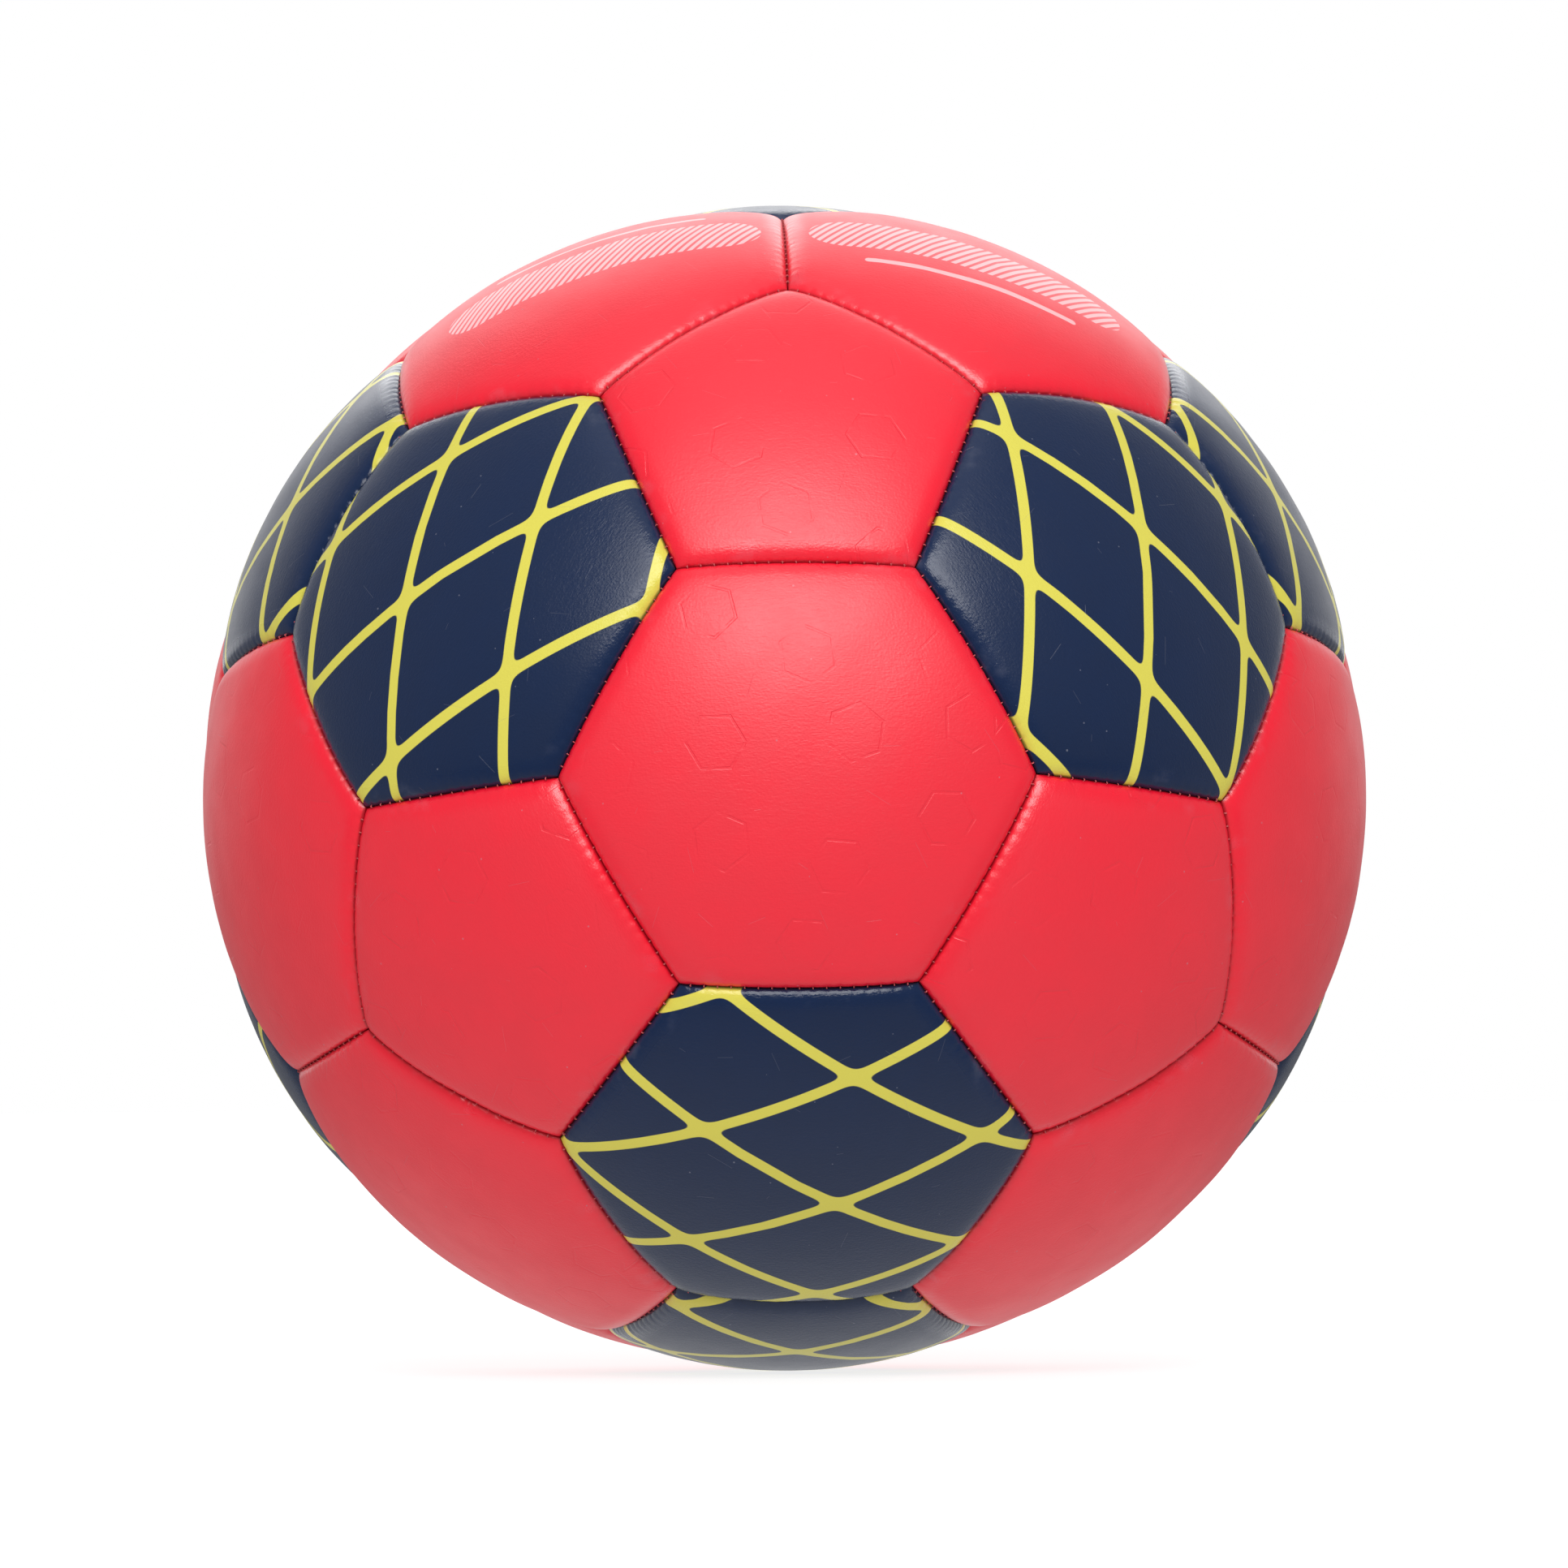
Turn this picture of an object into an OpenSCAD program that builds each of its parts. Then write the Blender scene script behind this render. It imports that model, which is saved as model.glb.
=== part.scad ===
// Stitched indoor handball with 32 panels: 20 hexagons and 12 pentagons
// sewn edge to edge over foam pads, linings and an inflated bladder.
// The origin is the centre of the ball. The middle of one hexagon faces -Y,
// the pentagon above it leans towards +Z, and the valve opens along +Y.

/* [Ball] */
// Diameter over the crowns of the panels, for a circumference of 58 to 60 cm
ball_d = 188; // [150:1:240]
// Drop of the cover from the crown of a panel to the middle of a seam
seam_dip = 0.9; // [0.5:0.1:2]
// Gap left between two neighbouring covers, all the way down the seam
seam_gap = 0.16; // [0.1:0.02:0.4]

/* [Cover] */
// Thickness of the polyurethane skin
skin_t = 1.2; // [1:0.1:2]
// Radius of the shoulder that rolls over into each seam
shoulder_r = 2.6; // [1.6:0.1:3.4]
// Length cut back from each sharp corner of a panel
corner_cut = 0.9; // [0.5:0.1:2]

/* [Padding] */
// Thickness of the foam at the edge of a panel, where it is thinnest
foam_t = 2.2; // [1.5:0.1:4]
// Thickness of the woven lining under the foam
lining_t = 0.7; // [0.4:0.1:1.2]
// Glue line or running gap between one layer and the next
layer_gap = 0.1; // [0.06:0.02:0.2]

/* [Seam thread] */
// Diameter of the waxed sewing thread
thread_d = 0.7; // [0.5:0.05:0.9]
// Leather left between the foot of the shoulder and the thread
thread_cover = 0.35; // [0.2:0.05:0.6]
// Length without thread at each corner, where three seams meet
thread_stop_len = 1.6; // [1.2:0.1:4]

/* [Bladder] */
// Wall of the inflated rubber bladder
bladder_wall = 0.8; // [0.5:0.1:1.5]

/* [Valve] */
// Diameter of the rubber boot where it comes through the cover
boot_d = 8.4; // [7.6:0.2:12]
// Length of the boot, from the cover down into the bladder
boot_len = 21; // [16:1:30]
// Depth of the end of the boot below the crown of its panel
boot_recess = 0.5; // [0.2:0.1:1]
// Diameter of the flange that bonds the boot to the bladder
boot_flange_d = 30; // [20:1:44]
// Thickness of that flange
boot_flange_t = 1.2; // [0.8:0.1:2]
// Diameter of the woven patch let into the lining round the boot
patch_d = 40; // [34:1:50]
// Diameter of the head of the valve core
core_head_d = 6.2; // [5.8:0.1:6.6]
// Thickness of that head
core_head_t = 1.5; // [1:0.1:2.5]
// Diameter of the stem of the valve core
core_d = 4.6; // [4:0.1:5]
// Bore that guides the 2 mm needle of a pump
needle_bore_d = 2.1; // [1.6:0.1:2.4]
// Depth of that bore, down to the rubber that seals it
needle_bore_len = 8; // [5:0.5:12]
// Chamfer round the mouth of the bore
bore_chamfer = 0.4; // [0.2:0.1:0.8]
// Clearance round the boot and round the core
valve_gap = 0.1; // [0.06:0.02:0.2]

/* [Colours] */
// Colour of the red panels
red = "#f22a3a";
// Colour of the navy panels
navy = "#26365a";
// Colour of the foam
foam_colour = "#e9e4d6";
// Colour of the lining and the patch
cloth_colour = "#d9d3c2";
// Colour of the sewing thread
thread_colour = "#7d1620";
// Colour of the rubber
rubber_colour = "#2b2b2d";

/* [Hidden] */
$fn = 120;
ball_r = ball_d / 2;

// A regular polyhedron of 12 pentagons and 20 hexagons, all with one edge
// length. Its corners lie this many edges away from the centre.
golden = (1 + sqrt(5)) / 2;
corner_share = sqrt(9 * golden + 10) / 2;

// Half angles at the centre of the ball: to the middle of a side of a panel,
// and to its corner
function circum_share(sides) = 1 / (2 * sin(180 / sides));
function corner_angle(sides) = asin(circum_share(sides) / corner_share);
function side_angle(sides) = atan(tan(corner_angle(sides)) * cos(180 / sides));
seam_half_angle = asin(1 / (2 * corner_share));

// Each panel is crowned: its outside is a smaller sphere that touches the
// ball's own sphere at the crown and lies seam_dip below it at the seam
function crown_shift(sides) =
    (ball_r ^ 2 - (ball_r - seam_dip) ^ 2)
    / (2 * (ball_r - (ball_r - seam_dip) * cos(side_angle(sides))));

// The shoulder may not grind through the bend of the skin
least_skin = skin_t / 3;
shoulder = min(shoulder_r, (skin_t * sqrt(2) - least_skin) / (sqrt(2) - 1));
// The shoulder's arc runs off past the two faces that it joins, and the
// cutter past both corners
run_off = shoulder / 30;
cutter_share = 1.5;

// Radii from the centre of the ball, from the outside in
foam_in_r = ball_r - seam_dip - skin_t - layer_gap - foam_t;
lining_out_r = foam_in_r - layer_gap;
lining_in_r = lining_out_r - lining_t;
bladder_r = lining_in_r - layer_gap;
thread_r = ball_r - seam_dip - shoulder - thread_cover - thread_d / 2;
thread_reach = seam_half_angle - thread_stop_len / thread_r * 180 / PI;
channel_reach = thread_reach + layer_gap / thread_r * 180 / PI;

// Places of the panels as [angle from the front axis, angle round it]. The
// back half of the ball is the front half turned through its centre.
pent_near = acos(sqrt((5 + 2 * sqrt(5)) / 15));
pent_far = acos(sqrt((5 - 2 * sqrt(5)) / 15));
hex_near = acos(sqrt(5) / 3);
hex_far = acos(1 / 3);
hex_spread = acos((cos(hex_near) - cos(hex_near) * cos(hex_far)) / (sin(hex_near) * sin(hex_far)));
upper_angles = [90, 210, 330];
lower_angles = [30, 150, 270];
hex_front = concat(
    [[0, 0]],
    [for (turn = lower_angles) [hex_near, turn]],
    [for (turn = lower_angles, side = [-1, 1]) [hex_far, turn + side * hex_spread]]
);
pent_front = concat(
    [for (turn = upper_angles) [pent_near, turn]],
    [for (turn = lower_angles) [pent_far, turn]]
);

function direction(place) = [
    sin(place[0]) * cos(place[1]),
    -cos(place[0]),
    sin(place[0]) * sin(place[1])
];
function both_halves(places) = concat(
    [for (place = places) direction(place)],
    [for (index = [len(places) - 1 : -1 : 0]) -direction(places[index])]
);
hex_axes = both_halves(hex_front);
pent_axes = both_halves(pent_front);
front_axis = [0, -1, 0];
valve_panel = len(hex_axes) - 1;

// Two unit vectors count as the same when they differ by less than this share
same_share = 0.001;

// The navy panels are the second ring of hexagons from either end and the
// pentagons next to the middle of the ball, in six pairs
function leans_by(axis, angle) = abs(abs(axis * front_axis) - cos(angle)) < same_share;
function is_navy_hexagon(axis) = leans_by(axis, hex_near);
function is_navy_pentagon(axis) = leans_by(axis, pent_far);

function unit(v) = v / norm(v);
function nearest(axis, others) =
    let (best = max([for (other = others) other * axis]))
    [for (other = others) if (other * axis > best - same_share) other][0];

// Names of the nodes
function two_digits(number) = str(number < 10 ? "0" : "", number);
function hexagon_name(index) = str("hexagon_panel_", two_digits(index + 1));
function pentagon_name(index) = str("pentagon_panel_", two_digits(index + 1));

// Turns a piece that is built round +Z to an axis, with its +X side towards
// the neighbour given
module placed(axis, neighbour) {
    across = unit(neighbour - axis * (neighbour * axis));
    third = cross(axis, across);
    multmatrix([
        [across.x, third.x, axis.x, 0],
        [across.y, third.y, axis.y, 0],
        [across.z, third.z, axis.z, 0],
        [0, 0, 0, 1]
    ])
        children();
}

module on_hexagon(index) {
    placed(hex_axes[index], nearest(hex_axes[index], pent_axes)) children();
}

module on_pentagon(index) {
    placed(pent_axes[index], nearest(pent_axes[index], hex_axes)) children();
}

// Turns +X to the outward normal of one side of a panel
module on_side(sides, side) {
    rotate([0, 0, side * 360 / sides])
        rotate([0, side_angle(sides), 0])
            children();
}

// The space of one panel, bounded by the planes of its seams
module panel_wedge(sides, inset) {
    intersection_for(side = [0 : sides - 1])
        on_side(sides, side)
            translate([-ball_d - inset, -ball_d, 0])
                cube([ball_d, 2 * ball_d, ball_d]);
}

// The crown sphere of a panel, lowered by a depth
module crown(sides, depth) {
    translate([0, 0, crown_shift(sides)])
        sphere(r = ball_r - crown_shift(sides) - depth);
}

// Sweeps an outline along a seam, to a half angle either side of its middle
module swept_along_seam(half_angle) {
    rotate([0, 90, 0])
        rotate([0, 0, 180 - half_angle])
            rotate_extrude(angle = 2 * half_angle)
                children();
}

// Cutter that rolls the edge of the cover over into the seam
module shoulder_cutter(sides) {
    shift = crown_shift(sides);
    tilt = side_angle(sides);
    arc_at = run_off - shoulder;
    off_centre = shift * sin(tilt) - seam_gap / 2 + arc_at;
    arc_r = sqrt((ball_r - shift + arc_at) ^ 2 - off_centre ^ 2);
    translate([-seam_gap / 2, 0, shift * cos(tilt)])
        swept_along_seam(cutter_share * seam_half_angle)
            translate([arc_r, arc_at])
                difference() {
                    square(2 * shoulder);
                    circle(r = shoulder);
                }
}

// Half-round channel that beds the thread in the face of the seam
module thread_channel() {
    swept_along_seam(channel_reach)
        translate([thread_r, 0])
            circle(d = thread_d + 2 * layer_gap);
}

// Cone that blunts the corners of a panel
module corner_cone(sides) {
    half_angle = corner_angle(sides) - corner_cut / ball_r * 180 / PI;
    cylinder(h = ball_d, r1 = 0, r2 = ball_d * tan(half_angle));
}

// Skin of one panel with its seam allowance turned in on every side
module cover(sides) {
    difference() {
        intersection() {
            panel_wedge(sides, seam_gap / 2);
            crown(sides, 0);
            corner_cone(sides);
        }
        intersection() {
            panel_wedge(sides, seam_gap / 2 + skin_t);
            crown(sides, skin_t);
        }
        sphere(r = lining_in_r);
        for (side = [0 : sides - 1])
            on_side(sides, side) {
                shoulder_cutter(sides);
                thread_channel();
            }
    }
}

// Foam pad that fills the skin out to its crown
module foam_pad(sides) {
    difference() {
        intersection() {
            panel_wedge(sides, seam_gap / 2 + skin_t + layer_gap);
            crown(sides, skin_t + layer_gap);
        }
        sphere(r = foam_in_r);
    }
}

// Woven lining glued under the foam
module lining(sides) {
    difference() {
        intersection() {
            panel_wedge(sides, seam_gap / 2 + skin_t + layer_gap);
            sphere(r = lining_out_r);
        }
        sphere(r = lining_in_r);
    }
}

// Round column along the axis of the valve, from the centre of the ball out
module valve_column(column_d) {
    cylinder(h = ball_d, d = column_d);
}

module hexagon_panel(index) {
    color(is_navy_hexagon(hex_axes[index]) ? navy : red)
        on_hexagon(index)
            difference() {
                cover(6);
                if (index == valve_panel)
                    valve_column(boot_d + 2 * valve_gap);
            }
}

module pentagon_panel(index) {
    color(is_navy_pentagon(pent_axes[index]) ? navy : red)
        on_pentagon(index)
            cover(5);
}

module hexagon_foam_pads() {
    color(foam_colour)
        for (index = [0 : len(hex_axes) - 1])
            on_hexagon(index)
                difference() {
                    foam_pad(6);
                    if (index == valve_panel)
                        valve_column(boot_d + 2 * valve_gap);
                }
}

module pentagon_foam_pads() {
    color(foam_colour)
        for (index = [0 : len(pent_axes) - 1])
            on_pentagon(index)
                foam_pad(5);
}

module hexagon_linings() {
    color(cloth_colour)
        for (index = [0 : len(hex_axes) - 1])
            on_hexagon(index)
                difference() {
                    lining(6);
                    if (index == valve_panel)
                        valve_column(patch_d);
                }
}

module pentagon_linings() {
    color(cloth_colour)
        for (index = [0 : len(pent_axes) - 1])
            on_pentagon(index)
                lining(5);
}

// Thread along one seam, centred on the middle of one side of a panel
module seam_thread() {
    swept_along_seam(thread_reach)
        translate([thread_r, 0])
            circle(d = thread_d);
}

// Axis of the hexagon that meets one on a side, and whether it comes later in
// the list
function across_side(index, side) =
    let (
        axis = hex_axes[index],
        neighbour = nearest(axis, pent_axes),
        across = unit(neighbour - axis * (neighbour * axis)),
        third = cross(axis, across),
        towards = across * cos(side * 60) + third * sin(side * 60)
    )
    axis * cos(2 * side_angle(6)) + towards * sin(2 * side_angle(6));
function is_first_of_pair(index, side) =
    let (other = nearest(across_side(index, side), hex_axes))
    [for (later = [0 : len(hex_axes) - 1]) if (hex_axes[later] == other) later][0] > index;

// The hexagons meet each other on every second side, and each of those
// seams is sewn once
module hexagon_seam_threads() {
    color(thread_colour)
        for (index = [0 : len(hex_axes) - 1], side = [1, 3, 5])
            if (is_first_of_pair(index, side))
                on_hexagon(index)
                    on_side(6, side)
                        seam_thread();
}

module pentagon_seam_threads() {
    color(thread_colour)
        for (index = [0 : len(pent_axes) - 1], side = [0 : 4])
            on_pentagon(index)
                on_side(5, side)
                    seam_thread();
}

module bladder() {
    color(rubber_colour)
        on_hexagon(valve_panel)
            difference() {
                sphere(r = bladder_r);
                sphere(r = bladder_r - bladder_wall);
                valve_column(boot_d + 2 * valve_gap);
            }
}

// Woven patch that stiffens the lining round the boot
module valve_patch() {
    color(cloth_colour)
        on_hexagon(valve_panel)
            difference() {
                intersection() {
                    sphere(r = lining_out_r);
                    valve_column(patch_d - 2 * valve_gap);
                }
                sphere(r = lining_in_r);
                valve_column(boot_d + 2 * valve_gap);
            }
}

boot_top = ball_r - boot_recess;
flange_out_r = bladder_r - bladder_wall - layer_gap;

// Rubber boot with its bonding flange, bored for the core and its head
module valve_boot() {
    color(rubber_colour)
        on_hexagon(valve_panel)
            difference() {
                union() {
                    translate([0, 0, boot_top - boot_len])
                        cylinder(h = boot_len, d = boot_d);
                    difference() {
                        intersection() {
                            sphere(r = flange_out_r);
                            valve_column(boot_flange_d);
                        }
                        sphere(r = flange_out_r - boot_flange_t);
                    }
                }
                valve_column(core_d + 2 * valve_gap);
                translate([0, 0, boot_top - core_head_t - valve_gap])
                    cylinder(h = boot_len, d = core_head_d + 2 * valve_gap);
            }
}

// Rubber core that a pump needle opens, closed below its guide bore
module valve_core() {
    color(rubber_colour)
        on_hexagon(valve_panel)
            difference() {
                union() {
                    translate([0, 0, boot_top - boot_len])
                        cylinder(h = boot_len, d = core_d);
                    translate([0, 0, boot_top - core_head_t])
                        cylinder(h = core_head_t, d = core_head_d);
                }
                translate([0, 0, boot_top - needle_bore_len])
                    cylinder(h = ball_r, d = needle_bore_d);
                translate([0, 0, boot_top - bore_chamfer])
                    cylinder(h = 2 * bore_chamfer, d1 = needle_bore_d, d2 = needle_bore_d + 4 * bore_chamfer);
            }
}

for (index = [0 : len(hex_axes) - 1])
    hexagon_panel(index);
for (index = [0 : len(pent_axes) - 1])
    pentagon_panel(index);
hexagon_foam_pads();
pentagon_foam_pads();
hexagon_linings();
pentagon_linings();
hexagon_seam_threads();
pentagon_seam_threads();
bladder();
valve_patch();
valve_boot();
valve_core();
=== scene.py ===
import math

import bpy
import numpy as np
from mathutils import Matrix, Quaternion, Vector


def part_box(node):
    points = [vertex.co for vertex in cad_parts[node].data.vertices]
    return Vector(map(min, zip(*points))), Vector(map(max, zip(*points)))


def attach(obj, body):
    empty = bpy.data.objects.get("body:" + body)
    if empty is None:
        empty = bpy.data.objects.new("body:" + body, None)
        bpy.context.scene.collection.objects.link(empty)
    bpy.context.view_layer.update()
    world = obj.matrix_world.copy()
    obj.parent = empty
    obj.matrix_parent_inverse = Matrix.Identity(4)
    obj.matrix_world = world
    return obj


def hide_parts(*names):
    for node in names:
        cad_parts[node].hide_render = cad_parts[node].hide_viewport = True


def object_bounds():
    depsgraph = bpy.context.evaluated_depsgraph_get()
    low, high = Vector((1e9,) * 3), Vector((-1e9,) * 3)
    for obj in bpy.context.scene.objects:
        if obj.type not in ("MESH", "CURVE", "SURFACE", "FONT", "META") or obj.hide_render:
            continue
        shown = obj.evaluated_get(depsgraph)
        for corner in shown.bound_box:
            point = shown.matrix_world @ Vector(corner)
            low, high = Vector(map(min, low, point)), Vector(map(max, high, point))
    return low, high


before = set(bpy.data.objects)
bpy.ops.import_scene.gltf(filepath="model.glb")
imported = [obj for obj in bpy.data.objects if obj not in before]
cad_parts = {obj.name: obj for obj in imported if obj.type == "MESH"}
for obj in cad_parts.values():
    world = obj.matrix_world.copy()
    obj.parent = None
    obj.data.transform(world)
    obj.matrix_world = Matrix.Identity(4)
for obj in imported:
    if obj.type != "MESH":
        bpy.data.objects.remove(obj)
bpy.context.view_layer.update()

# The bladder is a round bag of black butyl rubber, moulded in one piece and
# blown up until it fills the ball. It is dusted with talc, so that it doesn't
# stick to the linings. The frame's own solid stays and gets its finish here.
mm = 0.001
rubber_black = "#2b2b2d"
talc_grey = "#b9b6ae"
noise_middle = (0.3, 0.7)
dust_levels = (0.42, 0.68)
dust_relief = 0.5
speckle_share = 0.06
rubber_dullness = (0.5, 0.9)
bladder_patch = 9 * mm
bladder_dust = 0.7
bladder_bump = 0.06 * mm


def colour(code):
    """Linear colour of a web colour."""
    shares = [int(code[at:at + 2], 16) / 255 for at in (1, 3, 5)]
    linear = [s / 12.92 if s <= 0.04045 else ((s + 0.055) / 1.055) ** 2.4 for s in shares]
    return (*linear, 1)


def feed(tree, socket, value):
    """Links a socket to another, or sets its value. None leaves it alone."""
    if isinstance(value, bpy.types.NodeSocket):
        tree.links.new(value, socket)
    elif value is not None:
        socket.default_value = value


def feed_named(tree, node, inputs):
    """Feeds the sockets of a node by name, and returns its outputs."""
    for label, value in inputs.items():
        feed(tree, node.inputs[label], value)
    return node.outputs


def put(tree, kind, *inputs, **settings):
    """Adds a node with its settings, and feeds its first sockets in their order."""
    node = tree.nodes.new("ShaderNode" + kind)
    for name, value in settings.items():
        setattr(node, name, value)
    for socket, value in zip(node.inputs, inputs):
        feed(tree, socket, value)
    return node


def calc(tree, operation, *terms):
    """Result of one operation on sockets or numbers."""
    return put(tree, "Math", *terms, operation=operation).outputs[0]


def times(tree, first, second):
    """Product of two sockets or numbers."""
    return calc(tree, "MULTIPLY", first, second)


def step_up(tree, value, low, high, start=0, end=1):
    """Turns a value that runs from low to high softly into one from start to end."""
    node = put(tree, "MapRange", value, low, high, start, end, interpolation_type="SMOOTHSTEP")
    return node.outputs[0]


def blended(tree, share, first, second):
    """Colour between two colours. A Mix node's sockets share names, so identifiers tell them apart."""
    node = put(tree, "Mix", data_type="RGBA")
    sockets = {socket.identifier: socket for socket in (*node.inputs, *node.outputs)}
    feed(tree, sockets["Factor_Float"], share)
    feed(tree, sockets["A_Color"], first)
    feed(tree, sockets["B_Color"], second)
    return sockets["Result_Color"]


def grains(tree, place, size, detail=2, distortion=0):
    """Soft noise whose patches are of a given size."""
    scale = calc(tree, "DIVIDE", 1, size)
    noise = put(tree, "TexNoise", place)
    return feed_named(tree, noise, {"Scale": scale, "Detail": detail, "Distortion": distortion})[0]


def start_group(name, inputs, outputs):
    """A shader node group, with its inner inputs and outputs by name."""
    group = bpy.data.node_groups.new(name, "ShaderNodeTree")
    for way, sockets in (("INPUT", inputs), ("OUTPUT", outputs)):
        for label, kind in sockets.items():
            group.interface.new_socket(label, in_out=way, socket_type="NodeSocket" + kind)
    return group, group.nodes.new("NodeGroupInput").outputs, group.nodes.new("NodeGroupOutput").inputs


def use_group(tree, group, inputs):
    """Places a group in a tree, feeds its inputs by name, and returns its outputs."""
    return feed_named(tree, put(tree, "Group", node_tree=group), inputs)


def start_material(name, **constants):
    """A material with its tree and its shader, whose fixed sockets are set by name."""
    material = bpy.data.materials.new(name)
    material.use_nodes = True
    shader = material.node_tree.nodes["Principled BSDF"]
    for label, value in constants.items():
        shader.inputs[label.replace("_", " ")].default_value = value
    return material, material.node_tree, shader


def place_on(tree):
    """Place on the object that a material is seen at."""
    return put(tree, "TexCoord").outputs["Object"]


def finish_surface(tree, shader, base, roughness, height, depth):
    """Feeds a shader its colour, its roughness, and a bump as deep as it really is."""
    bump = put(tree, "Bump")
    normal = feed_named(tree, bump, {"Distance": depth, "Height": height})[0]
    feed_named(tree, shader, {"Base Color": base, "Roughness": roughness, "Normal": normal})


dusty_rubber, given, gives = start_group(
    "dusty_rubber", {"Place": "Vector", "Patch size": "Float"}, {"Dust": "Float", "Height": "Float"}
)
tree = dusty_rubber
cloud = grains(tree, given["Place"], given["Patch size"], detail=5, distortion=0.6)
speckle_size = times(tree, given["Patch size"], speckle_share)
speckle = grains(tree, given["Place"], speckle_size)
powder = step_up(tree, cloud, *dust_levels)
dots = step_up(tree, speckle, *noise_middle)
feed(tree, gives["Dust"], times(tree, powder, dots))
feed(tree, gives["Height"], calc(tree, "MULTIPLY_ADD", cloud, dust_relief, speckle))


def rubber_material(name, patch_size, most_dust, depth):
    """Black rubber with patches of dust, none thicker than a share of most_dust."""
    material, tree, shader = start_material(name, Specular_IOR_Level=0.4)
    surface = use_group(tree, dusty_rubber, {"Place": place_on(tree), "Patch size": patch_size})
    dust = times(tree, surface["Dust"], most_dust)
    base = blended(tree, dust, colour(rubber_black), colour(talc_grey))
    roughness = step_up(tree, surface["Dust"], 0, 1, *rubber_dullness)
    finish_surface(tree, shader, base, roughness, surface["Height"], depth)
    return material


def dress(node, material):
    """Gives a solid of the frame its material."""
    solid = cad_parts[node]
    solid.data.materials.clear()
    solid.data.materials.append(material)


dress("bladder", rubber_material("talced_butyl", bladder_patch, bladder_dust, bladder_bump))

# The valve boot is moulded from softer butyl, with a wide thin flange that is
# bonded to the inside of the bladder. Its end comes up through the patch and
# the cover at the back of the ball, and is handled enough to stay clean.
boot_patch = 3 * mm
boot_dust = 0.25
boot_bump = 0.02 * mm
dress("valve_boot", rubber_material("boot_butyl", boot_patch, boot_dust, boot_bump))

# The valve core is a rubber plug that is pushed into the boot. A pump needle
# goes down the bore in its head. It wears smooth and slightly dusty there.
core_patch = 1.6 * mm
core_dust = 0.4
core_bump = 0.012 * mm
dress("valve_core", rubber_material("core_butyl", core_patch, core_dust, core_bump))

# The valve patch is a disc of coarse cotton cloth, glued round the boot to
# stiffen the lining where the valve goes through it.
cotton = "#d9d3c2"
cotton_shade = "#a79f8b"
noise_span = (0.2, 0.8)
yarn_roundness = 0.6
yarn_middle = 0.55
yarn_lift = 0.45
yarn_levels = (0.1, 0.8)
slub_yarns = 5
slub_levels = (0.35, 0.75)
slub_shade = 0.35
cloth_dullness = (0.8, 0.95)
cloth_sheen = 0.2
patch_yarn = 0.55 * mm
patch_bump = 0.12 * mm

plain_weave, given, gives = start_group(
    "plain_weave",
    {"Across": "Float", "Up": "Float", "Yarn": "Float", "Place": "Vector"},
    {"Height": "Float", "Slub": "Float"},
)


def yarns(tree, beside, along, lift):
    """Height of one set of yarns, which go over and under the other set in turn."""
    number = calc(tree, "FLOOR", beside)
    arch = calc(tree, "SINE", times(tree, beside, math.pi))
    body = calc(tree, "POWER", calc(tree, "ABSOLUTE", arch), yarn_roundness)
    middle = calc(tree, "ADD", along, -0.5)
    turn = times(tree, calc(tree, "ADD", middle, number), math.pi)
    wave = calc(tree, "MULTIPLY_ADD", calc(tree, "COSINE", turn), lift, yarn_middle)
    return times(tree, body, wave)


tree = plain_weave
beside = calc(tree, "DIVIDE", given["Across"], given["Yarn"])
along = calc(tree, "DIVIDE", given["Up"], given["Yarn"])
warp = yarns(tree, beside, along, yarn_lift)
weft = yarns(tree, along, beside, -yarn_lift)
feed(tree, gives["Height"], calc(tree, "MAXIMUM", warp, weft))
slub_size = times(tree, given["Yarn"], slub_yarns)
feed(tree, gives["Slub"], grains(tree, given["Place"], slub_size, detail=3))


def finish_cloth(tree, shader, across, up, yarn, light, dark, depth):
    """Feeds the shader of a cloth, whose threads run along across and up."""
    inputs = {"Across": across, "Up": up, "Yarn": yarn, "Place": place_on(tree)}
    weave = use_group(tree, plain_weave, inputs)
    # The cloth is darker where its yarns dip, which is painted shade, and darker in slub patches, which is
    # the yarn's own tone.
    base = blended(tree, step_up(tree, weave["Height"], *yarn_levels), colour(dark), colour(light))
    base = blended(tree, step_up(tree, weave["Slub"], *slub_levels, 0, slub_shade), base, colour(dark))
    roughness = step_up(tree, weave["Slub"], *noise_span, *cloth_dullness)
    finish_surface(tree, shader, base, roughness, weave["Height"], depth)


def split(tree, vector):
    """Outputs X, Y and Z of a vector or a colour."""
    return put(tree, "SeparateXYZ", vector).outputs


patch_cloth, tree, shader = start_material("patch_cloth", Sheen_Weight=cloth_sheen)
axes = split(tree, place_on(tree))
finish_cloth(tree, shader, axes["X"], axes["Z"], patch_yarn, cotton, cotton_shade, patch_bump)
dress("valve_patch", patch_cloth)

# The linings are glued under the foam, one to each panel. They are layers of
# woven polyester and cotton, cut as hexagons and pentagons a little smaller
# than the covers, and they keep the ball round when it is pumped up.
shapes = {"hexagon": 6, "pentagon": 5}
golden = (1 + math.sqrt(5)) / 2
corner_share = math.sqrt(9 * golden + 10) / 2
tie_digits = 6
back_share = 0.999
layer_gap = 0.1
ball_r = -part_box("hexagon_panel_01")[0].y / mm
lining_out_r = -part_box("hexagon_linings")[0].y / mm
lining_in_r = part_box("bladder")[1].z / mm + layer_gap
seam_dip = 0.9
seam_gap = 0.16
skin_t = 1.2
pad_edge = seam_gap / 2 + skin_t + layer_gap
patch_hole_r = 20
round_from = 4
round_to = 20
ease_reach = 1
sharp_angle = math.radians(50)
tiny = 1e-9
edge_points = 16
hole_points = 8
middle_points = 4
middle_share = 0.7
lining_steps = ((10, 8), (4, 16))
lining_yarn = 0.4 * mm
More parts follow.
